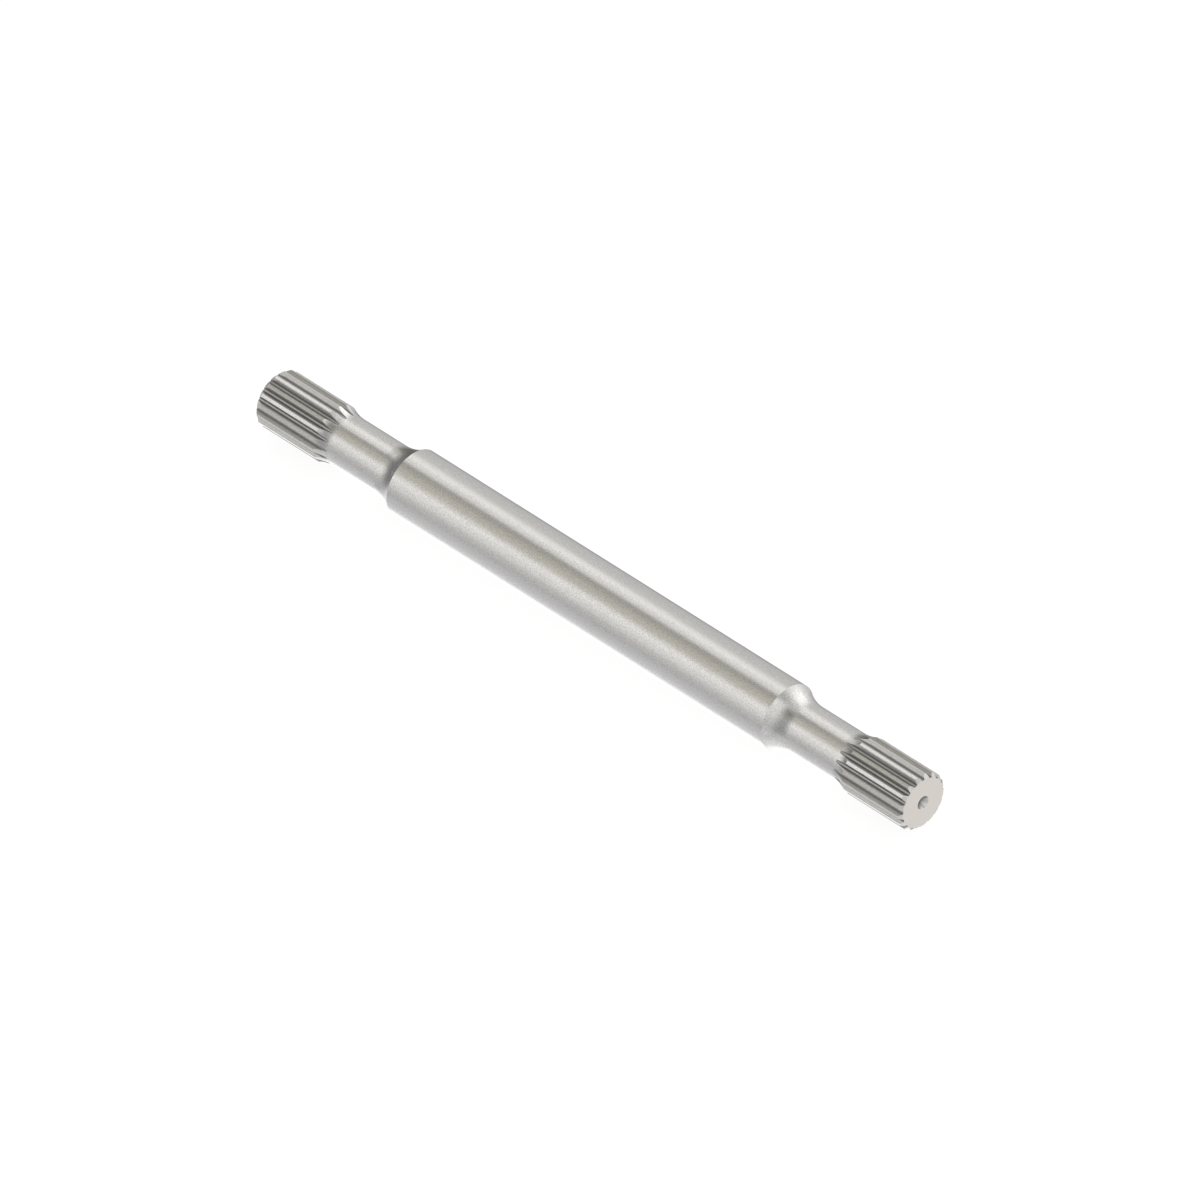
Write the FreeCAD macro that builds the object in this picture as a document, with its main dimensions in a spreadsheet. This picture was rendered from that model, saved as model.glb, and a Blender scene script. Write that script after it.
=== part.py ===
import FreeCAD, Part
import math
import os

import Sketcher

# A drive shaft turned from one steel bar. The bar keeps its full thickness in the middle,
# runs down a concave shoulder to a neck at each side, and ends in a short run of involute
# spline teeth with a lathe centre hole in each end face. It lies along X with the middle
# of its axis at the origin, and both ends are alike.

# Driving sizes in millimetres and degrees; the ratios are in spline modules.
SIZES = [
    ("overall_length", 539.4, "from one end face to the other"),
    ("body_length", 312.6, "full-thickness middle, between its two edges"),
    ("body_diameter", 43.9, "full-thickness middle"),
    ("shoulder_radius", 31.0, "concave arc from the middle down to each neck"),
    ("tooth_count", 17, "teeth of each spline"),
    ("spline_module", 2.1167, "pitch diameter divided by the tooth count"),
    ("pressure_angle", 30.0, "of the involute flanks"),
    ("addendum_ratio", 0.5, "tooth height above the pitch circle"),
    ("dedendum_ratio", 0.675, "gap depth below the pitch circle"),
    ("flank_backlash", 0.05, "width taken off each tooth so that the mating hub slides on"),
    ("root_fillet", 0.6, "rounded corner at the bottom of a tooth gap"),
    ("gap_turn", 20.7, "turn of the first tooth gap from straight up, about X"),
    ("spline_length", 48.9, "from the end face to the inner end of the tooth lands"),
    ("runout_radius", 28.5, "concave arc from the tooth lands down to the neck"),
    ("neck_relief", 0.15, "depth of the neck below the bottoms of the tooth gaps"),
    ("chamfer_length", 2.1, "lead-in chamfer of the teeth, along the shaft"),
    ("chamfer_depth", 2.1, "lead-in chamfer of the teeth, across the shaft"),
    ("hole_mouth_diameter", 9.0, "centre hole at the end face"),
    ("hole_cone_angle", 60.0, "whole angle of the centre hole's cone"),
    ("pilot_diameter", 4.0, "straight drilled part of the centre hole"),
    ("pilot_depth", 9.5, "from the end face to the end of the straight part"),
    ("drill_point_angle", 118.0, "whole angle of the drill point at the bottom"),
]

# A cut counts as made only when it takes away more than this, in cubic millimetres.
LEAST_CUT = 1.0

doc = FreeCAD.newDocument("turned_part")
sheet = doc.addObject("Spreadsheet::Sheet", "sizes")
for row, (alias, value, note) in enumerate(SIZES, start=1):
    sheet.set(f"A{row}", alias)
    sheet.set(f"B{row}", str(value))
    sheet.setAlias(f"B{row}", alias)
    sheet.set(f"C{row}", note)
doc.recompute()

# Worked-out sizes, as formulas over the sheet. Radii are measured from the shaft's axis,
# and places along it from the middle of its length.
END = "sizes.overall_length / 2"
BODY_END = "sizes.body_length / 2"
BODY_RADIUS = "sizes.body_diameter / 2"
PITCH_RADIUS = "sizes.spline_module * sizes.tooth_count / 2"
BASE_RADIUS = f"{PITCH_RADIUS} * cos(sizes.pressure_angle * 1 deg)"
TIP_RADIUS = f"({PITCH_RADIUS} + sizes.addendum_ratio * sizes.spline_module)"
ROOT_RADIUS = f"({PITCH_RADIUS} - sizes.dedendum_ratio * sizes.spline_module)"
NECK_RADIUS = f"({ROOT_RADIUS} - sizes.neck_relief)"
LAND_START = f"({END} - sizes.spline_length)"
CHAMFER_START = f"({END} - sizes.chamfer_length)"
FACE_RADIUS = f"({TIP_RADIUS} - sizes.chamfer_depth)"
CUT_LENGTH = "sizes.spline_length + sizes.runout_radius"

# A flank is struck as one arc through the pitch circle, with its centre where the line of
# action touches the base circle: that follows the involute to 0.02 mm over these teeth.
# The section of a gap is closed a quarter of a module above the teeth.
FLANK_RADIUS = f"{PITCH_RADIUS} * sin(sizes.pressure_angle * 1 deg)"
HALF_GAP = f"(90 deg / sizes.tooth_count + sizes.flank_backlash / 2 / ({PITCH_RADIUS}) * 1 rad)"
FLANK_CENTRE_ANGLE = f"({HALF_GAP} + sizes.pressure_angle * 1 deg)"
FLANK_CENTRE_X = f"{BASE_RADIUS} * sin({FLANK_CENTRE_ANGLE})"
FLANK_CENTRE_Y = f"{BASE_RADIUS} * cos({FLANK_CENTRE_ANGLE})"
CUT_TOP = f"{TIP_RADIUS} + sizes.spline_module / 4"

# The centre hole, measured like the rest.
MOUTH_RADIUS = "sizes.hole_mouth_diameter / 2"
PILOT_RADIUS = "sizes.pilot_diameter / 2"
CONE_END = f"({END} - ({MOUTH_RADIUS} - {PILOT_RADIUS}) / tan(sizes.hole_cone_angle * 0.5 deg))"
PILOT_END = f"({END} - sizes.pilot_depth)"
POINT_END = f"({PILOT_END} - {PILOT_RADIUS} / tan(sizes.drill_point_angle * 0.5 deg))"

AXIS_LINE = -1
UPRIGHT_LINE = -2
ORIGIN_POINT = (-1, 1)
START, FINISH, CENTRE = 1, 2, 3


def origin_part(role):
    """One of the body's own origin planes or axes, such as XZ_Plane or X_Axis."""
    return next(part for part in body.Origin.OriginFeatures if part.Role == role)


def new_sketch(name, role):
    """An empty sketch on one of the body's origin planes."""
    sketch = body.newObject("Sketcher::SketchObject", name)
    sketch.AttachmentSupport = (origin_part(role), [""])
    sketch.MapMode = "FlatFace"
    return sketch


def number(formula):
    """The present value of a formula over the sheet."""
    value = sheet.evalExpression(formula)
    return float(getattr(value, "Value", value))


def point(x, y):
    """A sketch point from two formulas."""
    return FreeCAD.Vector(number(x), number(y), 0)


def line(start, finish):
    return Part.LineSegment(start, finish)


def arc(centre, start, finish):
    """The arc about centre that runs anticlockwise from start to finish."""
    circle = Part.Circle(centre, FreeCAD.Vector(0, 0, 1), (start - centre).Length)
    angles = [math.atan2(end.y - centre.y, end.x - centre.x) for end in (start, finish)]
    if angles[1] < angles[0]:
        angles[1] += 2 * math.pi
    return Part.ArcOfCircle(circle, *angles)


def tie(sketch, kind, *elements, formula):
    """Adds a dimension to the sketch and binds it to a formula."""
    index = sketch.addConstraint(Sketcher.Constraint(kind, *elements, number(formula)))
    sketch.setExpression(f"Constraints[{index}]", formula)


def place(sketch, element, end, x=None, y=None):
    """Ties the end of a line or arc to a place across and up from the origin."""
    if x is not None:
        tie(sketch, "DistanceX", *ORIGIN_POINT, element, end, formula=x)
    if y is not None:
        tie(sketch, "DistanceY", *ORIGIN_POINT, element, end, formula=y)


def hold(sketch, kind, *elements):
    """Adds a rule without a size, such as Horizontal or Coincident."""
    sketch.addConstraint(Sketcher.Constraint(kind, *elements))


def cut_checked(feature, before):
    """Rebuilds and makes sure that a cut took material away."""
    doc.recompute()
    if not feature.Shape.Volume < before - LEAST_CUT:
        raise RuntimeError(f"{feature.Name} removed nothing")
    body.Tip = feature
    return feature.Shape.Volume


body = doc.addObject("PartDesign::Body", "shaft_body")
body.Label = "drive_shaft"

# Turning: half of the outline, from the middle of the shaft to one end face.
outline = new_sketch("turning_outline", "XZ_Plane")
middle_axis = FreeCAD.Vector(0, 0, 0)
middle_top = point("0", BODY_RADIUS)
body_edge = point(BODY_END, BODY_RADIUS)
shoulder_drop = number(f"{BODY_RADIUS} - {NECK_RADIUS}")
shoulder_run = math.sqrt(shoulder_drop * (2 * number("sizes.shoulder_radius") - shoulder_drop))
neck_start = point(f"{BODY_END} + {shoulder_run}", NECK_RADIUS)
runout_rise = number(f"{TIP_RADIUS} - {NECK_RADIUS}")
runout_run = math.sqrt(runout_rise * (2 * number("sizes.runout_radius") - runout_rise))
neck_finish = point(f"{LAND_START} - {runout_run}", NECK_RADIUS)
land_start = point(LAND_START, TIP_RADIUS)
land_finish = point(CHAMFER_START, TIP_RADIUS)
face_edge = point(END, FACE_RADIUS)
face_axis = point(END, "0")
shoulder_centre = neck_start + FreeCAD.Vector(0, number("sizes.shoulder_radius"), 0)
runout_centre = neck_finish + FreeCAD.Vector(0, number("sizes.runout_radius"), 0)
MIDDLE, BODY, SHOULDER, NECK, RUNOUT, LAND, CHAMFER, FACE, AXIS = range(9)
outline.addGeometry([
    line(middle_axis, middle_top),
    line(middle_top, body_edge),
    arc(shoulder_centre, body_edge, neck_start),
    line(neck_start, neck_finish),
    arc(runout_centre, neck_finish, land_start),
    line(land_start, land_finish),
    line(land_finish, face_edge),
    line(face_edge, face_axis),
    line(face_axis, middle_axis),
])
hold(outline, "Coincident", MIDDLE, START, *ORIGIN_POINT)
hold(outline, "Coincident", MIDDLE, FINISH, BODY, START)
hold(outline, "Coincident", BODY, FINISH, SHOULDER, START)
hold(outline, "Tangent", SHOULDER, FINISH, NECK, START)
hold(outline, "Tangent", NECK, FINISH, RUNOUT, START)
hold(outline, "Coincident", RUNOUT, FINISH, LAND, START)
hold(outline, "Coincident", LAND, FINISH, CHAMFER, START)
hold(outline, "Coincident", CHAMFER, FINISH, FACE, START)
hold(outline, "Coincident", FACE, FINISH, AXIS, START)
hold(outline, "Coincident", AXIS, FINISH, MIDDLE, START)
hold(outline, "Vertical", MIDDLE)
hold(outline, "Horizontal", BODY)
hold(outline, "Horizontal", NECK)
hold(outline, "Horizontal", LAND)
hold(outline, "Vertical", FACE)
hold(outline, "PointOnObject", FACE, FINISH, AXIS_LINE)
place(outline, BODY, FINISH, x=BODY_END, y=BODY_RADIUS)
place(outline, NECK, START, y=NECK_RADIUS)
place(outline, LAND, START, x=LAND_START, y=TIP_RADIUS)
place(outline, LAND, FINISH, x=CHAMFER_START)
place(outline, FACE, START, x=END, y=FACE_RADIUS)
tie(outline, "Radius", SHOULDER, formula="sizes.shoulder_radius")
tie(outline, "Radius", RUNOUT, formula="sizes.runout_radius")

turning = body.newObject("PartDesign::Revolution", "turning")
turning.Profile = outline
turning.ReferenceAxis = (origin_part("X_Axis"), [""])
turning.Angle = 360
turning.Refine = True
doc.recompute()

both_halves = body.newObject("PartDesign::Mirrored", "both_halves")
both_halves.Originals = [turning]
both_halves.MirrorPlane = (origin_part("YZ_Plane"), [""])
both_halves.Refine = True
body.Tip = both_halves
doc.recompute()
volume = both_halves.Shape.Volume


def gap_section(name, side):
    """Section of one tooth gap on an end face, centred on the sketch's upright line."""
    sketch = new_sketch(name, "YZ_Plane")
    sign = "" if side > 0 else "-"
    sketch.setExpression("AttachmentOffset.Base.z", f"{sign}{END}")
    sketch.setExpression("AttachmentOffset.Rotation.Angle", "sizes.gap_turn * 1 deg")

    flank_centre = point(FLANK_CENTRE_X, FLANK_CENTRE_Y)
    flank_radius = number(FLANK_RADIUS)
    fillet = number("sizes.root_fillet")
    root = number(ROOT_RADIUS)
    # The fillet's centre is one fillet radius from the flank and from the root circle.
    reach, spread, far = root + fillet, flank_radius + fillet, flank_centre.Length
    along = (reach ** 2 - spread ** 2 + far ** 2) / (2 * far)
    aside = math.sqrt(reach ** 2 - along ** 2)
    toward = flank_centre / far
    fillet_centre = toward * along + FreeCAD.Vector(-toward.y, toward.x, 0) * aside
    rise = number(CUT_TOP) - flank_centre.y
    outer_x = flank_centre.x - math.sqrt(flank_radius ** 2 - rise ** 2)
    outer = FreeCAD.Vector(outer_x, number(CUT_TOP), 0)
    inner = flank_centre + (fillet_centre - flank_centre) * (flank_radius / spread)
    bottom = fillet_centre * (root / reach)

    def mirrored(spot):
        return FreeCAD.Vector(-spot.x, spot.y, 0)

    top, right_flank, right_fillet, floor, left_fillet, left_flank = range(6)
    sketch.addGeometry([
        line(mirrored(outer), outer),
        arc(flank_centre, outer, inner),
        arc(fillet_centre, bottom, inner),
        arc(FreeCAD.Vector(0, 0, 0), bottom, mirrored(bottom)),
        arc(mirrored(fillet_centre), mirrored(inner), mirrored(bottom)),
        arc(mirrored(flank_centre), mirrored(inner), mirrored(outer)),
    ])
    hold(sketch, "Coincident", top, FINISH, right_flank, START)
    hold(sketch, "Coincident", top, START, left_flank, FINISH)
    hold(sketch, "Tangent", right_flank, FINISH, right_fillet, FINISH)
    hold(sketch, "Tangent", right_fillet, START, floor, START)
    hold(sketch, "Tangent", floor, FINISH, left_fillet, FINISH)
    hold(sketch, "Tangent", left_fillet, START, left_flank, START)
    hold(sketch, "Coincident", floor, CENTRE, *ORIGIN_POINT)
    hold(sketch, "Symmetric", right_flank, CENTRE, left_flank, CENTRE, UPRIGHT_LINE)
    hold(sketch, "Equal", right_flank, left_flank)
    hold(sketch, "Equal", right_fillet, left_fillet)
    hold(sketch, "Horizontal", top)
    place(sketch, right_flank, CENTRE, x=FLANK_CENTRE_X, y=FLANK_CENTRE_Y)
    place(sketch, right_flank, START, y=CUT_TOP)
    tie(sketch, "Radius", right_flank, formula=FLANK_RADIUS)
    tie(sketch, "Radius", right_fillet, formula="sizes.root_fillet")
    tie(sketch, "Radius", floor, formula=ROOT_RADIUS)
    return sketch


def centre_hole_section(name, side):
    """Half section of a centre hole: its cone, its straight pilot and its drill point."""
    sketch = new_sketch(name, "XZ_Plane")
    sign = "" if side > 0 else "-"
    places = [
        (END, "0"),
        (END, MOUTH_RADIUS),
        (CONE_END, PILOT_RADIUS),
        (PILOT_END, PILOT_RADIUS),
        (POINT_END, "0"),
    ]
    corners = [point(f"{sign}{x}", y) for x, y in places]
    count = len(corners)
    for index, corner in enumerate(corners):
        sketch.addGeometry(line(corner, corners[(index + 1) % count]))
    for index in range(count):
        hold(sketch, "Coincident", index, FINISH, (index + 1) % count, START)
    for index, (x, y) in enumerate(places):
        if y == "0":
            hold(sketch, "PointOnObject", index, START, AXIS_LINE)
            place(sketch, index, START, x=f"{sign}{x}")
        else:
            place(sketch, index, START, x=f"{sign}{x}", y=y)
    return sketch


# Each end: one tooth gap cut along the shaft and repeated round it, then the centre hole.
for end_name, side in (("right", 1), ("left", -1)):
    gap = body.newObject("PartDesign::Pocket", f"{end_name}_gap")
    gap.Profile = gap_section(f"{end_name}_gap_section", side)
    gap.Type = "Length"
    gap.setExpression("Length", CUT_LENGTH)
    gap.Reversed = side < 0
    gap.Refine = True
    volume = cut_checked(gap, volume)

    spline = body.newObject("PartDesign::PolarPattern", f"{end_name}_spline")
    spline.Originals = [gap]
    spline.Axis = (origin_part("X_Axis"), [""])
    spline.Angle = 360
    spline.setExpression("Occurrences", "sizes.tooth_count")
    spline.Refine = True
    volume = cut_checked(spline, volume)

    hole = body.newObject("PartDesign::Groove", f"{end_name}_centre_hole")
    hole.Profile = centre_hole_section(f"{end_name}_hole_section", side)
    hole.ReferenceAxis = (origin_part("X_Axis"), [""])
    hole.Angle = 360
    hole.Refine = True
    volume = cut_checked(hole, volume)

body.Placement = FreeCAD.Placement()
doc.recompute()

# Nothing is written unless every feature and the finished solid are sound.
for item in doc.Objects:
    if "Invalid" in item.State or "Error" in item.State:
        raise RuntimeError(f"{item.Name} failed: {item.State}")
shape = body.Shape
if shape.isNull() or not shape.isValid() or len(shape.Solids) != 1:
    raise RuntimeError("the shaft isn't one sound solid")

os.makedirs("parts", exist_ok=True)
shape.exportStep(os.path.join("parts", f"{body.Label}.step"))
extent = shape.optimalBoundingBox()
print(f"{body.Label}: {extent.XLength:.2f} x {extent.YLength:.2f} x {extent.ZLength:.2f} mm,"
      f" {shape.Volume / 1000:.1f} cm3, {len(shape.Faces)} faces")
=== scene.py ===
# %% [markdown]
# # A splined drive shaft in bare steel
# The real part is one solid. A steel bar is turned between lathe centres, which leaves a thick
# plain middle and a thinner neck on each side of it, and a toothed cutter then mills a short
# spline on both ends. This lesson dresses the workshop model of that shaft for a picture. The
# model comes in ready to scale, in metres, lying along X with its middle at the origin. Its box
# is kept at once, because nothing made here may grow past it.

# %% Load the workshop model
import math

import bpy
import numpy as np
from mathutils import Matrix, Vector


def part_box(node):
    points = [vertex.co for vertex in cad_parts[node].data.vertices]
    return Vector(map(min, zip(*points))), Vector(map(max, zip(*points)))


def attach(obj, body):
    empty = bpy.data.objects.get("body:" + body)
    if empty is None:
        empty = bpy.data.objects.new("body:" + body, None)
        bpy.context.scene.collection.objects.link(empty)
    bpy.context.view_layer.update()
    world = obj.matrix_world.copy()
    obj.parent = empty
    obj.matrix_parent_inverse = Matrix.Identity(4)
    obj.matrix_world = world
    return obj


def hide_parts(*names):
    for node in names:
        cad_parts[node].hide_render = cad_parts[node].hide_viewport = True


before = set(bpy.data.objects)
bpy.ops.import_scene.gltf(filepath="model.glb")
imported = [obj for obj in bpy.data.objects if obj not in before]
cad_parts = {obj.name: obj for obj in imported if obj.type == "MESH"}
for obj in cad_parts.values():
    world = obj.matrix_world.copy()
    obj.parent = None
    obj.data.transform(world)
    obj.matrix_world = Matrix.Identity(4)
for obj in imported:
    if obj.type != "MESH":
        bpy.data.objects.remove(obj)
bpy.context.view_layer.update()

low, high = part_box("drive_shaft")
print("the shaft reaches from", [round(v, 4) for v in low], "to", [round(v, 4) for v in high])

# %% [markdown]
# ## The camera
# The shaft looks as wide at its far end as at its near one, so the picture has no perspective
# and the camera is orthographic. It stands halfway between the side and the right end of the
# shaft and looks down at a little under forty degrees. A camera could be turned with angles
# typed in by hand. Here it gets a direction, and `to_track_quat` turns its lens down that line,
# so the place and the aim can't disagree.

# %% Set up the camera
VIEW_AZIMUTH = math.radians(45)
VIEW_ELEVATION = math.radians(38.87)
FRAME_WIDTH = 0.7082
CAMERA_DISTANCE = 3.0
CLIP_END = 20.0

toward_camera = Vector((
    math.cos(VIEW_ELEVATION) * math.sin(VIEW_AZIMUTH),
    -math.cos(VIEW_ELEVATION) * math.cos(VIEW_AZIMUTH),
    math.sin(VIEW_ELEVATION),
))
camera_data = bpy.data.cameras.new("camera")
camera_data.type = "ORTHO"
camera_data.ortho_scale = FRAME_WIDTH
camera_data.clip_end = CLIP_END
camera = bpy.data.objects.new("camera", camera_data)
bpy.context.scene.collection.objects.link(camera)
camera.location = toward_camera * CAMERA_DISTANCE
camera.rotation_euler = toward_camera.to_track_quat("Z", "Y").to_euler()
bpy.context.scene.camera = camera
bpy.context.scene.view_settings.view_transform = "Standard"
print("the camera stands at", [round(v, 3) for v in camera.location])

# %% [markdown]
# ## The turned outline
# The workshop model is right in shape, but its edges are knife sharp and its round faces are
# flats about a millimetre wide, which a polished surface shows up at once. A Bevel modifier
# could break the edges, but it would leave the flats. So the visible skin is made afresh, at the
# same sizes, as one net of points: rows run round the shaft and columns run along it. These are
# the sizes a turner would read from the drawing, all as radii or as places along the axis from
# the middle of the shaft.

# %% Sizes of the turned blank
MM = 0.001
END = high.x
BODY_END = 156.3 * MM
BODY_RADIUS = 21.95 * MM
SHOULDER_ARC = 31.0 * MM
RUNOUT_ARC = 28.5 * MM
LAND_START = END - 48.9 * MM
NECK_RELIEF = 0.15 * MM
CHAMFER_LENGTH = 2.1 * MM
CHAMFER_DEPTH = 2.1 * MM
print("the plain middle ends at", round(BODY_END, 4))
print("the tooth tops start at", round(LAND_START, 4))

# %% [markdown]
# ## The section of one tooth gap
# Each spline has seventeen teeth with involute sides, the curve that gear teeth have. An involute
# could be plotted point by point. Over so low a tooth one arc lies within a fiftieth of a
# millimetre of it, and its centre sits where the tooth's line of pressure touches the base
# circle, so the arc needs only the tooth count, the module and the pressure angle.

# %% Sizes of the spline
TOOTH_COUNT = 17
MODULE = 2.1167 * MM
PRESSURE_ANGLE = math.radians(30)
# In modules: the tooth tops above the pitch circle, and the gap floors below it.
TOOTH_RISE = 0.5
GAP_DEPTH = 0.675
BACKLASH = 0.05 * MM
ROOT_FILLET = 0.6 * MM
FIRST_GAP_TURN = math.radians(20.7)

PITCH_RADIUS = MODULE * TOOTH_COUNT / 2
BASE_RADIUS = PITCH_RADIUS * math.cos(PRESSURE_ANGLE)
TIP_RADIUS = PITCH_RADIUS + TOOTH_RISE * MODULE
ROOT_RADIUS = PITCH_RADIUS - GAP_DEPTH * MODULE
NECK_RADIUS = ROOT_RADIUS - NECK_RELIEF
FACE_RADIUS = TIP_RADIUS - CHAMFER_DEPTH
HALF_PITCH = math.pi / TOOTH_COUNT
FLANK_RADIUS = PITCH_RADIUS * math.sin(PRESSURE_ANGLE)
FLANK_CENTRE_ANGLE = HALF_PITCH / 2 + BACKLASH / 2 / PITCH_RADIUS + PRESSURE_ANGLE
print("radius over the teeth", round(TIP_RADIUS / MM, 3), "mm")
print("radius in the gaps", round(ROOT_RADIUS / MM, 3), "mm")

# %% [markdown]
# The side of a tooth runs down into a small rounded corner, left by the rounded tips of the
# cutter. A Bevel modifier could round the corner afterwards. It is exact, and no harder, to
# place its arc by a triangle: the side's arc and the corner's arc touch, so their centres lie
# apart by the sum of the two radii, and both centres have a known distance from the axis.


# %% Centres of the two arcs
def triangle_angle(near, other, far):
    """The angle between two sides of a triangle, with the third side opposite to it."""
    return math.acos((near ** 2 + other ** 2 - far ** 2) / (2 * near * other))


def polar(angle, radius):
    """A point of the section: across the gap, and out from the axis."""
    return Vector((radius * math.sin(angle), radius * math.cos(angle)))


centres_apart = FLANK_RADIUS + ROOT_FILLET
fillet_centre_radius = ROOT_RADIUS + ROOT_FILLET
flank_centre = polar(FLANK_CENTRE_ANGLE, BASE_RADIUS)
fillet_centre = polar(
    FLANK_CENTRE_ANGLE - triangle_angle(BASE_RADIUS, fillet_centre_radius, centres_apart),
    fillet_centre_radius,
)
flank_bottom = flank_centre + (fillet_centre - flank_centre) * (FLANK_RADIUS / centres_apart)
print("the side of a tooth is", round((TIP_RADIUS - flank_bottom.length) / MM, 2), "mm high")

# %% [markdown]
# A point of the section is kept as a spot, across the gap and out from the axis, together with
# the direction that the metal faces there. Blender could work out these directions from the
# faces round each point, but that smears the light over an edge this small. Here they come from
# the arcs themselves and are later handed to Blender as the skin's own normals, so the light
# runs over an edge as it does on real metal.


# %% Points of a tooth's side
def flank_point(radius):
    """The point of the tooth's side at that radius, and the way it faces."""
    spot = polar(FLANK_CENTRE_ANGLE - triangle_angle(BASE_RADIUS, radius, FLANK_RADIUS), radius)
    return spot, (spot - flank_centre).normalized()


def fillet_point(share):
    """A point of the rounded corner, from the floor of the gap to the foot of the side."""
    to_floor = -fillet_centre.normalized()
    to_flank = (flank_bottom - fillet_centre).normalized()
    away = to_floor.slerp(to_flank, share)
    return fillet_centre + away * ROOT_FILLET, -away


corner_middle, _ = fillet_point(0.5)
print("the rounded corner lies", round(corner_middle.length / MM, 2), "mm from the axis")

# %% [markdown]
# Half a gap and half a tooth make one half pitch, which is then mirrored and repeated all the
# way round. The teeth's long edges aren't left sharp. A deburring brush takes less than a tenth
# of a millimetre off them. A Bevel modifier could find these edges by their angle, but it would
# lose the exact facing directions. So the section itself steps across each edge in one short
# slanted strip.

# %% The section of half a pitch
EDGE_BREAK = 0.07 * MM
FLOOR_STEPS = 2
FILLET_STEPS = 4
FLANK_STEPS = 6
LAND_STEPS = 3

half_section = []
floor_edge = math.atan2(fillet_centre.x, fillet_centre.y)
for step in range(FLOOR_STEPS):
    angle = floor_edge * step / FLOOR_STEPS
    half_section.append((polar(angle, ROOT_RADIUS), polar(angle, 1)))
for step in range(FILLET_STEPS):
    half_section.append(fillet_point(step / FILLET_STEPS))
foot = flank_bottom.length
for step in range(FLANK_STEPS + 1):
    share = step / FLANK_STEPS
    half_section.append(flank_point(foot + (TIP_RADIUS - EDGE_BREAK - foot) * share))
land_edge = FLANK_CENTRE_ANGLE - triangle_angle(BASE_RADIUS, TIP_RADIUS, FLANK_RADIUS)
land_edge += EDGE_BREAK / TIP_RADIUS
for step in range(LAND_STEPS + 1):
    angle = land_edge + (HALF_PITCH - land_edge) * step / LAND_STEPS
    half_section.append((polar(angle, TIP_RADIUS), polar(angle, 1)))
print("a half pitch has", len(half_section), "points")

# %% [markdown]
# The columns are laid out all the way round. Numpy, the array library that comes with Blender,
# handles every column at once: each array below holds one number per column. A column's cap is
# how far out it reaches at the teeth. One more array says how near the column is to the rounded
# corner of a gap, where painted shade darkens the steel. That could be painted on the mesh by
# hand, but a distance does it for all thirty-four corners alike.

# %% Columns round the shaft
# How far from the middle of a gap's rounded corner the painted shade reaches.
SHADE_REACH = 0.85 * MM
SAME_RADIUS = 1e-9

mirrored = [
    (Vector((-spot.x, spot.y)), Vector((-facing.x, facing.y)))
    for spot, facing in half_section[-2:0:-1]
]
angles, caps, facing_turns, painted_shade = [], [], [], []
for tooth in range(TOOTH_COUNT):
    for index, (spot, facing) in enumerate(half_section + mirrored):
        # The mirrored half is the near side of the next gap, one pitch further round.
        wrap = 2 * HALF_PITCH if index >= len(half_section) else 0
        angles.append(FIRST_GAP_TURN + 2 * HALF_PITCH * tooth + math.atan2(spot.x, spot.y) + wrap)
        caps.append(spot.length)
        facing_turns.append(math.atan2(facing.x, facing.y) - math.atan2(spot.x, spot.y))
        # Painted shade: darkest at the middle of a gap's rounded corner, gone a little way from
        # it.
        to_corner = (Vector((abs(spot.x), spot.y)) - corner_middle).length
        painted_shade.append(max(0.0, 1 - to_corner / SHADE_REACH))
angles = np.array(angles)
caps = np.array(caps)
facing_turns = np.array(facing_turns)
painted_shade = np.array(painted_shade)
COLUMN_COUNT = len(angles)
on_land = np.isclose(caps, TIP_RADIUS, atol=SAME_RADIUS)
print(COLUMN_COUNT, "columns,", int(on_land.sum()), "of them on the tooth tops")

# %% [markdown]
# ## Rows along the shaft
# A row says, for every column, how far along the axis it lies, its radius, and how the metal
# faces: a share along the axis, a share outward, and a turn round the axis. It also says which
# tool left the metal and how much painted shade it gets. On the turned faces all columns agree.
# In the spline they part company, because a row stops wherever the blank meets that column's
# depth of cut. That is how a concave run-out arc ends in points between the teeth. Cutting the
# gaps with boolean modifiers could do it too, but leaves long thin triangles along those edges.

# %% Row helper
TURNED, CUT, FACED = range(3)
rows = []


def add_row(along, radius, face_along, face_out, turn=0.0, finish=TURNED, shade_share=0.0):
    """One more row of the right half, from the middle of the shaft towards its end."""
    full = np.ones(COLUMN_COUNT)
    rows.append({
        "along": along * full,
        "radius": radius * full,
        "face_along": face_along * full,
        "face_out": face_out * full,
        "turn": turn * full,
        "finish": finish,
        # How much painted shade darkens this row.
        "painted_shade": shade_share * full,
    })


print("a row holds", COLUMN_COUNT, "numbers of each kind, and one of three finishes")

# %% [markdown]
# First come the thick middle, the concave shoulder and the neck. The shoulder is a quarter-like
# sweep of a round-nosed tool: it starts as a crisp edge on the middle and melts into the neck.
# A Bezier curve could draw it. A true arc needs only its radius, which is what the turner sets.

# %% Middle, shoulder and neck
BODY_STEPS = 8
SHOULDER_STEPS = 22
NECK_STEPS = 3


def arc_angle(rise, arc):
    """How far round a concave arc the radius has grown by rise."""
    return np.arccos(1 - rise / arc)


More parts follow.
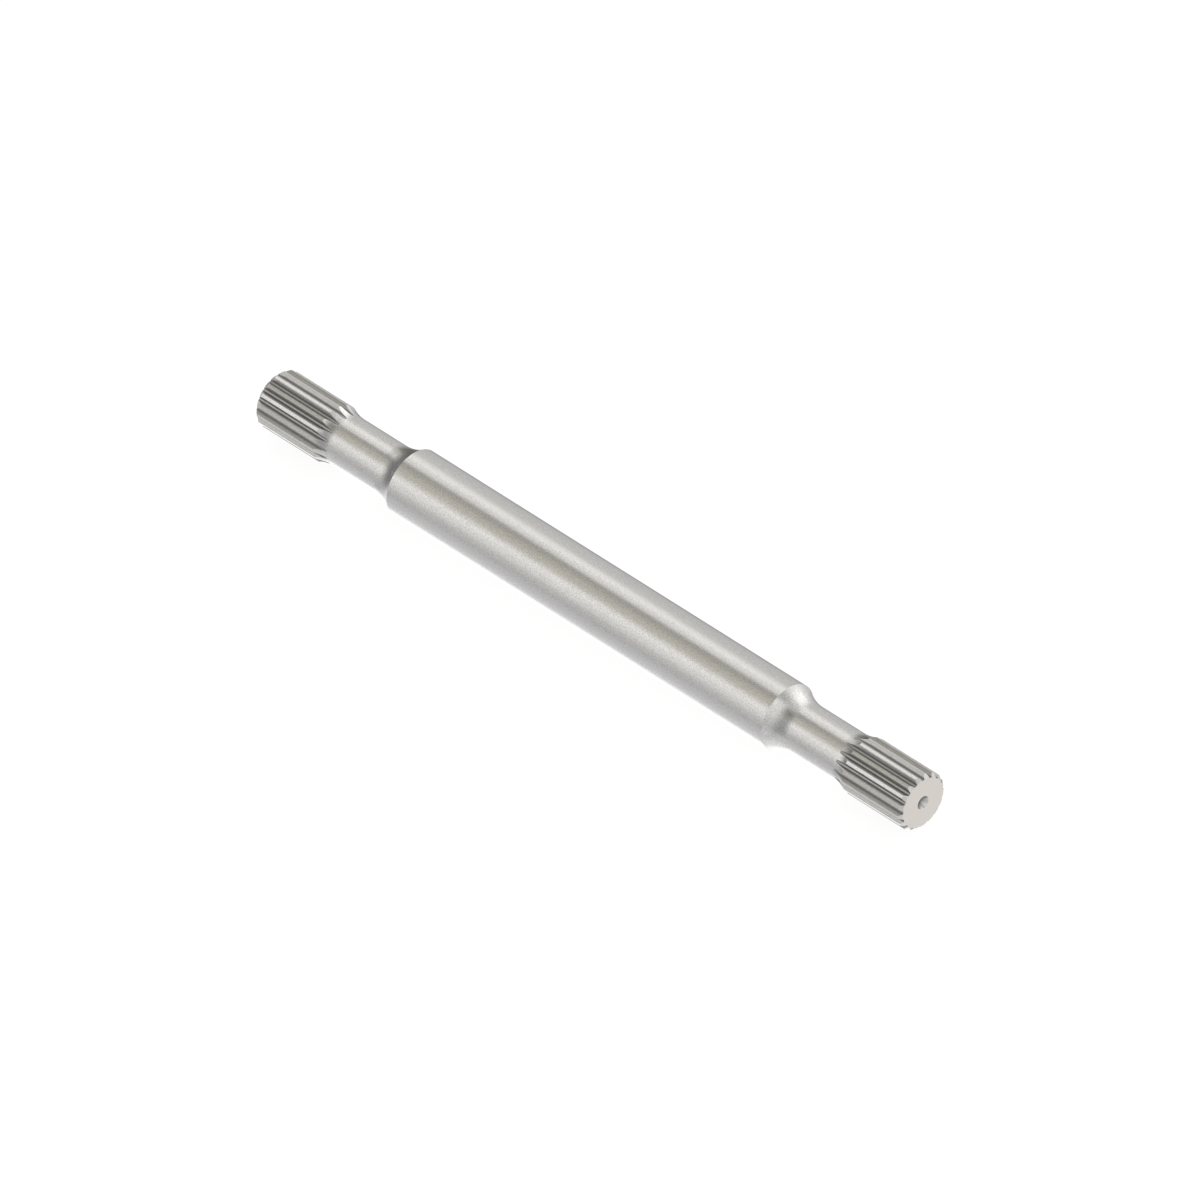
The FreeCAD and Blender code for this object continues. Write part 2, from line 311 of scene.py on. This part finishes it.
shoulder_turn = arc_angle(BODY_RADIUS - NECK_RADIUS, SHOULDER_ARC)
neck_start = BODY_END + SHOULDER_ARC * math.sin(shoulder_turn)
neck_end = LAND_START - RUNOUT_ARC * math.sin(arc_angle(TIP_RADIUS - NECK_RADIUS, RUNOUT_ARC))
for step in range(BODY_STEPS + 1):
    add_row((BODY_END - EDGE_BREAK) * step / BODY_STEPS, BODY_RADIUS, 0, 1)
for step in range(SHOULDER_STEPS + 1):
    turn = (shoulder_turn - EDGE_BREAK / SHOULDER_ARC) * (1 - step / SHOULDER_STEPS)
    place = neck_start - SHOULDER_ARC * math.sin(turn)
    radius = NECK_RADIUS + SHOULDER_ARC * (1 - math.cos(turn))
    add_row(place, radius, math.sin(turn), math.cos(turn))
for step in range(1, NECK_STEPS):
    add_row(neck_start + (neck_end - neck_start) * step / NECK_STEPS, NECK_RADIUS, 0, 1)
print("the neck runs from", round(neck_start, 4), "to", round(neck_end, 4))

# %% [markdown]
# Then a second concave arc, the run-out, climbs from the neck to the tooth tops, and the gaps end
# in it. It could be turned whole and the gaps cut from it afterwards, as on the real part. Here
# each column stops climbing at its own depth of cut, which leaves the same edge. That edge is
# slanted, so the strip that breaks it is made longer by the same slant, or it would vanish on the
# tooth sides.

# %% Run-out arc
RUNOUT_STEPS = 14

runout_turn = arc_angle(caps - NECK_RADIUS, RUNOUT_ARC)
tooth_start = neck_end + RUNOUT_ARC * np.sin(runout_turn)
column_spacing = caps * (np.roll(angles, -1) - np.roll(angles, 1))
# The first and the last column are neighbours too, a whole turn apart in angle.
column_spacing[0] += 2 * math.pi * caps[0]
column_spacing[-1] += 2 * math.pi * caps[-1]
slant = (np.roll(tooth_start, -1) - np.roll(tooth_start, 1)) / column_spacing
start_break = EDGE_BREAK * np.sqrt(1 + slant ** 2)
for step in range(RUNOUT_STEPS + 1):
    turn = (runout_turn - start_break / RUNOUT_ARC) * step / RUNOUT_STEPS
    place = neck_end + RUNOUT_ARC * np.sin(turn)
    add_row(place, NECK_RADIUS + RUNOUT_ARC * (1 - np.cos(turn)), -np.sin(turn), np.cos(turn))
print("the points between the teeth start at", round(float(tooth_start.min()), 4))

# %% [markdown]
# The teeth run straight from there to the lead-in chamfer, which lets a hub find the spline. The
# chamfer is a cone that starts where it meets the tooth, so each column's row has an end of its
# own. At the bottom of a gap there is no metal left for the cone. One straight quad could span a
# whole tooth, but a few steps along it keep the quads from growing too long and thin.

# %% Teeth
TOOTH_STEPS = 8

chamfer_tilt = math.atan2(CHAMFER_DEPTH, CHAMFER_LENGTH)
cone_length = np.maximum(caps - FACE_RADIUS, 0) / math.sin(chamfer_tilt)
has_cone = cone_length > 0
tooth_end = END - cone_length * math.cos(chamfer_tilt)
# On a short cone the edge break takes a third of it at most.
end_break = np.where(has_cone, np.minimum(EDGE_BREAK, cone_length / 3), EDGE_BREAK)
tooth_first, tooth_last = tooth_start + start_break, tooth_end - end_break
for step in range(TOOTH_STEPS + 1):
    place = tooth_first + (tooth_last - tooth_first) * step / TOOTH_STEPS
    # The tooth rows carry the painted shade of the gaps' corners.
    add_row(place, caps, 0, 1, facing_turns, CUT, painted_shade)
top_length = float((tooth_last - tooth_first)[on_land].max())
print("the longest tooth top is", round(top_length / MM, 1), "mm")

# %% [markdown]
# Two rows make the cone, one near each of its edges, and the strips beside them are the edge
# breaks. In the gap columns the same two rows only share out the small break at the face. A
# Bevel modifier would stumble there, where the cone runs out to nothing. The flat end face
# follows, in rings that shrink towards the centre hole.

# %% Lead-in chamfer and end face
FACE_STEPS = 5
HOLE_MOUTH_RADIUS = 4.5 * MM

lean_along, lean_out = math.sin(chamfer_tilt), math.cos(chamfer_tilt)
rim = np.where(has_cone, FACE_RADIUS, caps) - end_break
for share, slide in ((1 / 3, end_break), (2 / 3, cone_length - end_break)):
    cone_along = tooth_end + slide * lean_out
    cone_radius = caps - slide * lean_along
    break_along = tooth_last + (END - tooth_last) * share
    break_radius = caps + (rim - caps) * share
    add_row(
        np.where(has_cone, cone_along, break_along),
        np.where(has_cone, cone_radius, break_radius),
        lean_along, lean_out, finish=FACED,
    )
for step in range(FACE_STEPS + 1):
    radius = rim + (HOLE_MOUTH_RADIUS + EDGE_BREAK - rim) * step / FACE_STEPS
    add_row(END, radius, 1, 0, finish=FACED)
print("the end face is", round(float(rim.max()) / MM, 2), "mm in radius")

# %% [markdown]
# The centre hole takes the point of a lathe centre: a cone of sixty degrees, a straight pilot
# and the mark of the drill's point. It could be cut out with a boolean. But the net of rows is
# there already, and all three walls are straight lines in section, so one small loop carries the
# rows on to the bottom of the hole. The cone is darkened towards the pilot as painted shade.

# %% Centre hole
PILOT_RADIUS = 2.0 * MM
PILOT_DEPTH = 9.5 * MM
CONE_HALF_ANGLE = math.radians(30)
DRILL_HALF_ANGLE = math.radians(59)
HOLE_STEPS = 3

cone_depth = (HOLE_MOUTH_RADIUS - PILOT_RADIUS) / math.tan(CONE_HALF_ANGLE)
point_depth = PILOT_DEPTH + PILOT_RADIUS / math.tan(DRILL_HALF_ANGLE)
hole_walls = [
    (0.0, HOLE_MOUTH_RADIUS, cone_depth, PILOT_RADIUS),
    (cone_depth, PILOT_RADIUS, PILOT_DEPTH, PILOT_RADIUS),
    (PILOT_DEPTH, PILOT_RADIUS, point_depth, 0.0),
]
for depth, radius, next_depth, next_radius in hole_walls:
    run = Vector((next_depth - depth, radius - next_radius))
    break_share = EDGE_BREAK / run.length
    face_along, face_out = run.y / run.length, -run.x / run.length
    for step in range(HOLE_STEPS + 1):
        share = break_share + (1 - 2 * break_share) * step / HOLE_STEPS
        reached = depth + run.x * share
        # Painted shade, growing towards the bottom of the hole.
        hole_shade = min(1.0, reached / cone_depth) ** 2
        add_row(
            END - reached, radius - run.y * share, face_along, face_out,
            finish=FACED, shade_share=hole_shade,
        )
print("the centre hole is", round(point_depth / MM, 2), "mm deep;", len(rows), "rows in one half")

# %% [markdown]
# ## From rows to a skin
# The rows turn into points in space with a sine and a cosine. The left half is the right one
# mirrored in X, and the two ends are closed in the bottoms of the centre holes. A Mirror
# modifier could make the left half. Writing it out keeps the skin one closed net that needs no
# modifier, and lets its normals be set directly.


# %% Points and normals
def ring_points(row, side):
    """Where the points of a row lie in space, on the right or the left half."""
    return np.stack([
        side * row["along"],
        -row["radius"] * np.sin(angles),
        row["radius"] * np.cos(angles),
    ], axis=1)


def ring_normals(row, side):
    """The way the metal faces along a row."""
    heading = angles + row["turn"]
    return np.stack([
        side * row["face_along"],
        -row["face_out"] * np.sin(heading),
        row["face_out"] * np.cos(heading),
    ], axis=1)


LEFT, RIGHT = -1, 1
ordered = [(row, LEFT) for row in rows[:0:-1]] + [(row, RIGHT) for row in rows]
points = np.concatenate([ring_points(row, side) for row, side in ordered])
normals = np.concatenate([ring_normals(row, side) for row, side in ordered])
hole_bottom = END - point_depth
points = np.concatenate([points, [(-hole_bottom, 0, 0), (hole_bottom, 0, 0)]])
normals = np.concatenate([normals, [(-1, 0, 0), (1, 0, 0)]])
print(len(ordered), "rings and", len(points), "points")

# %% [markdown]
# Each ring of points is joined to the next by quads. The finish of a quad follows the tool that
# left it: turned, cut by the spline cutter, or faced off at the end. The faces could be picked
# by hand in Edit Mode and given a material. The rows know their tool already, so they decide.
# Only quads that lie in a gap count as cut, because the tooth tops are still the turned skin of
# the blank.

# %% Quads and their finish
ring_count = len(ordered)
columns = np.arange(COLUMN_COUNT)
following = (columns + 1) % COLUMN_COUNT
both_on_land = on_land & on_land[following]
quads, finishes = [], []
for ring in range(ring_count - 1):
    here, there = ring * COLUMN_COUNT, (ring + 1) * COLUMN_COUNT
    corners = [here + columns, here + following, there + following, there + columns]
    quads.append(np.stack(corners, axis=1))
    pair = (ordered[ring][0]["finish"], ordered[ring + 1][0]["finish"])
    if pair == (CUT, CUT):
        finishes.append(np.where(both_on_land, TURNED, CUT))
    else:
        finishes.append(np.full(COLUMN_COUNT, FACED if FACED in pair else TURNED))
left_tip, right_tip = len(points) - 2, len(points) - 1
last_ring = (ring_count - 1) * COLUMN_COUNT
faces = np.concatenate(quads).tolist()
faces += [(left_tip, int(b), int(a)) for a, b in zip(columns, following)]
faces += [(right_tip, int(last_ring + a), int(last_ring + b)) for a, b in zip(columns, following)]
finishes = np.concatenate(finishes + [np.full(2 * COLUMN_COUNT, FACED)])
print(len(faces), "faces,", int((finishes == CUT).sum()), "of them cut")

# %% [markdown]
# The lists become a mesh. Normals and materials could be set face by face in a loop. With so
# many faces `foreach_set` is much quicker, because it hands over a whole array in one go. The
# painted shade travels with the mesh as an attribute, one value for each point.

# %% Make the mesh
# Full painted shade at the bottoms of both centre holes.
BOTTOM_SHADE = (1, 1)

skin = bpy.data.meshes.new("shaft_skin")
skin.from_pydata(points.tolist(), [], faces)
skin.update()
skin.polygons.foreach_set("material_index", finishes.astype(np.int32))
skin.polygons.foreach_set("use_smooth", np.ones(len(faces), dtype=bool))
skin.normals_split_custom_set_from_vertices(normals.tolist())
# The painted shade is kept as an attribute, one value for each point.
shade_attribute = skin.attributes.new("painted_shade", "FLOAT", "POINT")
shade_attribute.data.foreach_set("value", np.concatenate([row["painted_shade"] for row, _ in ordered] + [BOTTOM_SHADE]))
shaft = bpy.data.objects.new("shaft_skin", skin)
bpy.context.scene.collection.objects.link(shaft)
print("the skin has", sum(len(face) - 2 for face in faces), "triangles")

# %% [markdown]
# A quick test tells whether the skin is closed and right side out: the volume that its triangles
# enclose comes out positive. One could also turn on Face Orientation and look for red, but a
# number is harder to overlook.

# %% Check the skin
CUBIC_CENTIMETRE = 1e-6

skin.calc_loop_triangles()
corners = np.array([tuple(triangle.vertices) for triangle in skin.loop_triangles])
spots = points[corners]
volume = np.einsum("ij,ij->i", spots[:, 0], np.cross(spots[:, 1], spots[:, 2])).sum() / 6
print("enclosed volume", round(volume / CUBIC_CENTIMETRE, 1), "cubic centimetres")

# %% [markdown]
# ## Three finishes of one steel
# The same steel looks different wherever another tool has been. All three finishes share one
# recipe: a metal shader, a fine grain in its colour, faint tool marks in its bump, and a slow
# cloud that varies the gloss a little. Pictures of steel could be wrapped round the shaft
# instead, but they need unwrapping and show seams. The recipe is built from nodes, so two small
# helpers come first: one adds any node, the other blends two colours.

# %% Node helpers
# Where a Mix node keeps its colours, counted among its sockets.
FIRST_COLOUR, SECOND_COLOUR, MIXED_COLOUR = 6, 7, 2


def add_node(tree, kind, **settings):
    """A node of that kind, with its own settings or its inputs set by name."""
    node = tree.nodes.new(kind)
    for name, value in settings.items():
        if name in node.bl_rna.properties:
            setattr(node, name, value)
        else:
            node.inputs[name.replace("_", " ")].default_value = value
    return node


def mix_colours(tree, share, first, second):
    """A blend of two colours, each of them a plain value or the output of a node."""
    node = add_node(tree, "ShaderNodeMix", data_type="RGBA")
    tree.links.new(share, node.inputs[0])
    for place, colour in ((FIRST_COLOUR, first), (SECOND_COLOUR, second)):
        if isinstance(colour, tuple):
            node.inputs[place].default_value = colour
        else:
            tree.links.new(colour, node.inputs[place])
    return node.outputs[MIXED_COLOUR]


print("two node helpers are ready")

# %% [markdown]
# Grain, marks and cloud are noise textures in the shaft's own coordinates. Such a texture fills
# space, so it runs on over edges without a seam. Squeezed along X and stretched across it, the
# noise turns into fine rings, as turning leaves them. A noise value seldom comes near 0 or 1, so
# its usual range is spread out before it is used.

# %% Noise over the steel
NOISE_LOW, NOISE_HIGH = 0.3, 0.7


def noise(tree, coordinates, stretch, scale, detail):
    """A noise texture, stretched along the three axes of the shaft."""
    mapping = add_node(tree, "ShaderNodeMapping", Scale=stretch)
    texture = add_node(tree, "ShaderNodeTexNoise", Scale=scale, Detail=detail)
    tree.links.new(coordinates.outputs["Object"], mapping.inputs["Vector"])
    tree.links.new(mapping.outputs["Vector"], texture.inputs["Vector"])
    return texture.outputs["Fac"]


def spread(tree, value, lowest, highest):
    """Turns a noise value into one between two limits."""
    node = add_node(
        tree, "ShaderNodeMapRange",
        From_Min=NOISE_LOW, From_Max=NOISE_HIGH, To_Min=lowest, To_Max=highest,
    )
    tree.links.new(value, node.inputs["Value"])
    return node.outputs["Result"]


print("noise between", NOISE_LOW, "and", NOISE_HIGH, "is spread out")

# %% [markdown]
# The colour of bare steel isn't quite even: the grain makes it a little darker and lighter, and
# painted shade darkens it in the tooth gaps' corners and deep in the centre holes. The darkening
# could be done with a separate darker material. Reading the shade value that was kept with each
# point fades it in softly instead.

# %% Colour of the steel
# Near black, the colour that the painted shade blends towards.
SHADE_COLOUR = (0.03, 0.028, 0.025, 1)


def steel_colour(tree, speckle, colour, grain, shade_depth):
    """The metal's colour, uneven by the share of the grain and darkened by painted shade."""
    darker = (*[channel * (1 - grain) for channel in colour], 1)
    lighter = (*[min(1, channel * (1 + grain)) for channel in colour], 1)
    grained = mix_colours(tree, spread(tree, speckle, 0, 1), darker, lighter)
    # The painted shade kept on the points darkens the colour.
    kept_shade = add_node(tree, "ShaderNodeAttribute", attribute_name="painted_shade")
    shade_share = add_node(tree, "ShaderNodeMath", operation="MULTIPLY")
    shade_share.inputs[1].default_value = shade_depth
    tree.links.new(kept_shade.outputs["Fac"], shade_share.inputs[0])
    return mix_colours(tree, shade_share.outputs[0], grained, SHADE_COLOUR)


print("where oil stays, the steel goes towards", SHADE_COLOUR[:3])

# %% [markdown]
# A tool leaves marks that are at most a few hundredths of a millimetre deep. They could be
# modelled, but would need millions of faces. A Bump node makes the smooth skin shine as if they
# were there, and two of them in a row lay the grain over the tool's marks. The recipe then joins
# colour, gloss and bump in one metal shader.

# %% Steel recipe
GRAIN_SCALE, GRAIN_DETAIL, GRAIN_STRETCH = 1600.0, 0.0, (1, 1, 1)
RING_SCALE, RING_DETAIL = 260.0, 3.0
CLOUD_SCALE, CLOUD_DETAIL, CLOUD_STRETCH = 60.0, 2.0, (0.4, 1, 1)
GLOSS_SWING = 0.1


def make_steel(name, colour, gloss, grain, ring_stretch, ring_height, grain_height, shade_depth=0.0):
    """A bare steel finish with grain, tool marks, slightly uneven gloss and painted shade in its
    hollows.
    """
    material = bpy.data.materials.new(name)
    material.use_nodes = True
    tree = material.node_tree
    shader = tree.nodes["Principled BSDF"]
    shader.inputs["Metallic"].default_value = 1.0
    coordinates = add_node(tree, "ShaderNodeTexCoord")
    speckle = noise(tree, coordinates, GRAIN_STRETCH, GRAIN_SCALE, GRAIN_DETAIL)
    rings = noise(tree, coordinates, ring_stretch, RING_SCALE, RING_DETAIL)
    cloud = noise(tree, coordinates, CLOUD_STRETCH, CLOUD_SCALE, CLOUD_DETAIL)
    gloss_map = spread(tree, cloud, gloss * (1 - GLOSS_SWING), gloss * (1 + GLOSS_SWING))
    ring_bump = add_node(tree, "ShaderNodeBump", Strength=1.0, Distance=ring_height)
    grain_bump = add_node(tree, "ShaderNodeBump", Strength=1.0, Distance=grain_height)

    # The colour holds the grain and the painted shade.
    grain_and_shade = steel_colour(tree, speckle, colour, grain, shade_depth)
    tree.links.new(grain_and_shade, shader.inputs["Base Color"])
    tree.links.new(gloss_map, shader.inputs["Roughness"])
    tree.links.new(rings, ring_bump.inputs["Height"])
    tree.links.new(speckle, grain_bump.inputs["Height"])
    tree.links.new(ring_bump.outputs["Normal"], grain_bump.inputs["Normal"])
    tree.links.new(grain_bump.outputs["Normal"], shader.inputs["Normal"])
    return material


print("the gloss varies by", round(GLOSS_SWING * 100), "percent to each side")

# %% [markdown]
# The turned skin is satin, with a sandy grain and rings too fine to tell apart. The cutter's
# strokes run along the gaps instead and leave them duller and darker, the darker colour partly
# painted shade between the teeth, with more painted shade in their corners. The end faces
# carry almost no marks at all. One material with masks could hold all three. Three separate
# ones are easier to read and to change.

# %% The three finishes
MICRON = 0.000001

turned_steel = make_steel(
    "turned steel", (0.72, 0.715, 0.71), gloss=0.18, grain=0.13,
    ring_stretch=(6, 0.5, 0.5), ring_height=MICRON, grain_height=MICRON,
)
# A darker colour than the turned skin, partly painted shade between the teeth, and more painted
# shade in the gaps' corners.
cut_steel = make_steel(
    "hobbed steel", (0.54, 0.535, 0.53), gloss=0.24, grain=0.12,
    ring_stretch=(0.4, 6, 6), ring_height=20 * MICRON, grain_height=10 * MICRON, shade_depth=0.75,
)
# The centre holes get painted shade, darkest at their bottoms.
faced_steel = make_steel(
    "faced steel", (0.708, 0.698, 0.69), gloss=0.25, grain=0.01,
    ring_stretch=(1, 6, 6), ring_height=MICRON, grain_height=MICRON, shade_depth=0.8,
)
# In the order of TURNED, CUT and FACED, which the faces hold as their material's number.
for material in (turned_steel, cut_steel, faced_steel):
    skin.materials.append(material)
print("finishes:", [material.name for material in skin.materials])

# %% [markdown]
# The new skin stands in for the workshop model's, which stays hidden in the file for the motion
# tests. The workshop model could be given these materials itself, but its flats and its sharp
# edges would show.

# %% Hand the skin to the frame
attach(shaft, "root")
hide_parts("drive_shaft")
print(shaft.name, "stands in for drive_shaft")

# %% [markdown]
# ## The studio
# A polished bar shows the room and hardly itself. Photographers know this, and stand white
# cards and black cards along such a bar, so that each card is drawn out into a long stripe.
# Lamps with soft edges could do the same. Here the cards are painted on the world, as bands
# round the shaft's axis. Each line holds an angle and a colour. The angle runs from level in
# front (0) over the top (90) to level behind (180), and the pale floor lies below, at negative
# angles. The photograph's brightness was measured along the shaft and worked back into the light
# that each direction must send. The levels were chosen from those measurements, and then changed
# by trying, until the stripes on the steel came close to those in the photograph.
#
# Four such rings of cards stand one behind the other along X. The first is far to the left,
# where only the arcs that face left look. Past its last card, the room is dim.

# %% Cards far to the left
DIM_ROOM = (0.22, 0.22, 0.22, 1)
CARDS_FAR_LEFT = [
    (-165, 0.15, 0.15, 0.14),
    (-142, 0.16, 0.16, 0.15),
    (-115, 1.00, 1.00, 1.00),
    (-95, 0.78, 0.78, 0.79),
    (-68, 0.53, 0.53, 0.54),
    (-38, 0.53, 0.53, 0.53),
    (-15, 0.65, 0.64, 0.61),
    (14, 0.99, 0.98, 0.93),
    (32, 0.99, 0.98, 0.93),
    (62, 0.57, 0.56, 0.52),
    (86, 0.40, 0.395, 0.365),
    (116, 0.80, 0.79, 0.76),
    (142, 0.56, 0.56, 0.52),
    (165, 0.24, 0.235, 0.21),
]
print(len(CARDS_FAR_LEFT), "cards far to the left")

# %% [markdown]
# The second ring matters most: from where the camera stands, the plain middle, the necks and the
# tooth tops show hardly anything else. Light and dark cards take turns here, and each turn is
# one stripe along the shaft. A few broad cards would make plausible stripes. Sixteen narrow ones
# follow the photograph more closely.

# %% Cards to the left
CARDS_LEFT = [
    (-175, 0.61, 0.61, 0.61),
    (-146, 0.36, 0.36, 0.36),
    (-125, 1.30, 1.30, 1.30),
    (-100, 1.35, 1.35, 1.35),
    (-72, 0.80, 0.80, 0.81),
    (-46, 0.67, 0.67, 0.68),
    (-23, 0.57, 0.565, 0.56),
    (-8, 0.64, 0.635, 0.625),
    (11, 0.86, 0.85, 0.83),
    (31, 1.04, 1.02, 1.00),
    (56, 0.63, 0.60, 0.53),
    (85, 0.435, 0.42, 0.385),
    (98, 0.90, 0.88, 0.86),
    (117, 1.10, 1.08, 1.04),
    (144, 0.715, 0.71, 0.685),
    (162, 0.68, 0.675, 0.66),
]
print(len(CARDS_LEFT), "cards to the left")

# %% [markdown]
# The arcs that face right look into the other two rings. One ring could serve them, but the
# chamfer and the face of the right end need calmer light than a shoulder does. So the last ring
# is one of its own, and its cards differ less.

# %% Cards in the middle and to the right
CARDS_MIDDLE = [
    (-165, 0.68, 0.68, 0.68),
    (-100, 1.32, 1.32, 1.32),
    (-70, 0.94, 0.94, 0.94),
    (-40, 0.68, 0.68, 0.69),
    (-8, 0.38, 0.38, 0.38),
    (35, 0.43, 0.43, 0.42),
    (66, 0.30, 0.29, 0.26),
    (90, 0.62, 0.61, 0.59),
    (108, 0.80, 0.79, 0.77),
    (128, 1.31, 1.30, 1.26),
    (150, 1.42, 1.41, 1.37),
    (172, 0.91, 0.91, 0.91),
]
CARDS_RIGHT = [
    (-165, 0.80, 0.80, 0.80),
    (-131, 0.96, 0.91, 0.87),
    (-85, 0.92, 0.92, 0.92),
    (-40, 0.74, 0.74, 0.74),
    (-5, 0.63, 0.63, 0.62),
    (45, 0.88, 0.87, 0.85),
    (74, 0.95, 0.94, 0.92),
    (97, 0.54, 0.53, 0.49),
    (140, 1.03, 1.02, 0.98),
    (170, 0.95, 0.95, 0.95),
]
print(len(CARDS_MIDDLE), "cards in the middle and", len(CARDS_RIGHT), "to the right")

# %% [markdown]
# A chain of Mix nodes could hold the cards of one ring. A Color Ramp node holds them all in one
# place, with soft passages between them. A ramp is a straight strip, while a ring has no ends.
# So the first card is put on once more behind the last, and the last once more before the first,
# and the strip closes unseen behind the shaft.

# %% A ramp for one ring
FULL_TURN = 360
# The ramps reach this far to both sides of the front, in degrees.
RAMP_REACH = 240


def card_ramp(tree, turn, cards):
    """The light of one ring of cards, read at the angle round the shaft."""
    ramp = add_node(tree, "ShaderNodeValToRGB")
    ramp.color_ramp.interpolation = "EASE"
    elements = ramp.color_ramp.elements
    elements.remove(elements[-1])
    before = (cards[-1][0] - FULL_TURN, *cards[-1][1:])
    behind = (cards[0][0] + FULL_TURN, *cards[0][1:])
    for index, (degrees, *colour) in enumerate([before, *cards, behind]):
        place = (degrees + RAMP_REACH) / (2 * RAMP_REACH)
        element = elements[0] if index == 0 else elements.new(place)
        element.position = place
        element.color = (*colour, 1)
    tree.links.new(turn, ramp.inputs["Fac"])
    return ramp.outputs["Color"]


print("a ramp spans", 2 * RAMP_REACH, "degrees")

# %% [markdown]
# The world's shader asks in which direction a ray leaves. The angle round the shaft is the
# arctangent of how far it points up and how far to the front, and that angle reads the ramps. A
# radial Gradient Texture could give an angle too, but its axis is Z and would have to be turned.

# %% Angle round the shaft
world = bpy.data.worlds.new("studio")
bpy.context.scene.world = world
world.use_nodes = True
sky = world.node_tree
sky.nodes.clear()
coordinates = add_node(sky, "ShaderNodeTexCoord")
direction = add_node(sky, "ShaderNodeSeparateXYZ")
front = add_node(sky, "ShaderNodeMath", operation="MULTIPLY")
front.inputs[1].default_value = -1
around = add_node(sky, "ShaderNodeMath", operation="ARCTAN2")
turn_share = add_node(
    sky, "ShaderNodeMapRange",
    From_Min=math.radians(-RAMP_REACH), From_Max=math.radians(RAMP_REACH),
)
sky.links.new(coordinates.outputs["Generated"], direction.inputs[0])
sky.links.new(direction.outputs["Y"], front.inputs[0])
sky.links.new(direction.outputs["Z"], around.inputs[0])
sky.links.new(front.outputs[0], around.inputs[1])
sky.links.new(around.outputs[0], turn_share.inputs["Value"])
print("the world has", len(sky.nodes), "nodes that find the angle")

# %% [markdown]
# The rings are blended by how far a direction points along the shaft, from -1 for straight left
# to 1 for straight right. Four real tubes of cards could stand there, but their ends would show
# as hard edges on the shoulders.

# %% Blend the rings
# Each ring, and where along X it takes over from what stands to its left.
RINGS = [
    (CARDS_FAR_LEFT, -1.0, -0.8),
    (CARDS_LEFT, -0.71, -0.54),
    (CARDS_MIDDLE, -0.5, -0.25),
    (CARDS_RIGHT, -0.1, 0.32),
]

light = DIM_ROOM
for cards, start, full in RINGS:
    ring_light = card_ramp(sky, turn_share.outputs["Result"], cards)
    share = add_node(
        sky, "ShaderNodeMapRange", interpolation_type="SMOOTHSTEP", From_Min=start, From_Max=full,
    )
    sky.links.new(direction.outputs["X"], share.inputs["Value"])
    light = mix_colours(sky, share.outputs["Result"], light, ring_light)
print(sum(len(cards) for cards, _, _ in RINGS), "cards in", len(RINGS), "rings")

# %% [markdown]
# The camera itself sees plain white, through Light Path's Is Camera Ray, so the picture gets a
# white ground without any more light on the steel. A white backdrop behind the shaft could do
# this too, but it would stand in the way of the cards.

# %% White for the camera
WHITE = (1, 1, 1, 1)


def shown_to_camera(tree, real, shown):
    """Two shaders in one: the camera sees the second, and all other rays meet the first."""
    path = add_node(tree, "ShaderNodeLightPath")
    choose = add_node(tree, "ShaderNodeMixShader")
    tree.links.new(path.outputs["Is Camera Ray"], choose.inputs["Fac"])
    tree.links.new(real.outputs[0], choose.inputs[1])
    tree.links.new(shown.outputs[0], choose.inputs[2])
    return choose.outputs[0]


studio = add_node(sky, "ShaderNodeBackground")
white = add_node(sky, "ShaderNodeBackground", Color=WHITE)
sky_output = add_node(sky, "ShaderNodeOutputWorld")
sky.links.new(light, studio.inputs["Color"])
sky.links.new(shown_to_camera(sky, studio, white), sky_output.inputs["Surface"])
print("the world has", len(sky.nodes), "nodes in all")

# %% [markdown]
# ## The floor
# The shaft lies on a pale sweep of paper. Its white comes from the paper's own colour and a
# glow that only the camera sees, so no extra light falls on the steel, and the shaft still casts
# a faint shadow. The paper could be made white and lit brightly, but then it would light the
# shaft from below. The steel doesn't mirror this floor, because the cards at negative angles
# stand in for it.

# %% Floor
FLOOR_SIZE = 12.0
PAPER = (0.2, 0.2, 0.2, 1)
PAPER_GLOW = 0.9

bpy.ops.mesh.primitive_plane_add(size=FLOOR_SIZE, location=(0, 0, low.z))
floor = bpy.context.object
floor.name = "floor"
floor.visible_glossy = False
floor_material = bpy.data.materials.new("pale paper")
floor_material.use_nodes = True
paper = floor_material.node_tree
paper.nodes.clear()
diffuse = add_node(paper, "ShaderNodeBsdfDiffuse", Color=PAPER)
glow = add_node(paper, "ShaderNodeEmission", Color=WHITE, Strength=PAPER_GLOW)
glowing = add_node(paper, "ShaderNodeAddShader")
paper_output = add_node(paper, "ShaderNodeOutputMaterial")
paper.links.new(diffuse.outputs[0], glowing.inputs[0])
paper.links.new(glow.outputs[0], glowing.inputs[1])
paper.links.new(shown_to_camera(paper, diffuse, glowing), paper_output.inputs["Surface"])
floor.data.materials.append(floor_material)
print("the floor lies at", round(floor.location.z, 4))
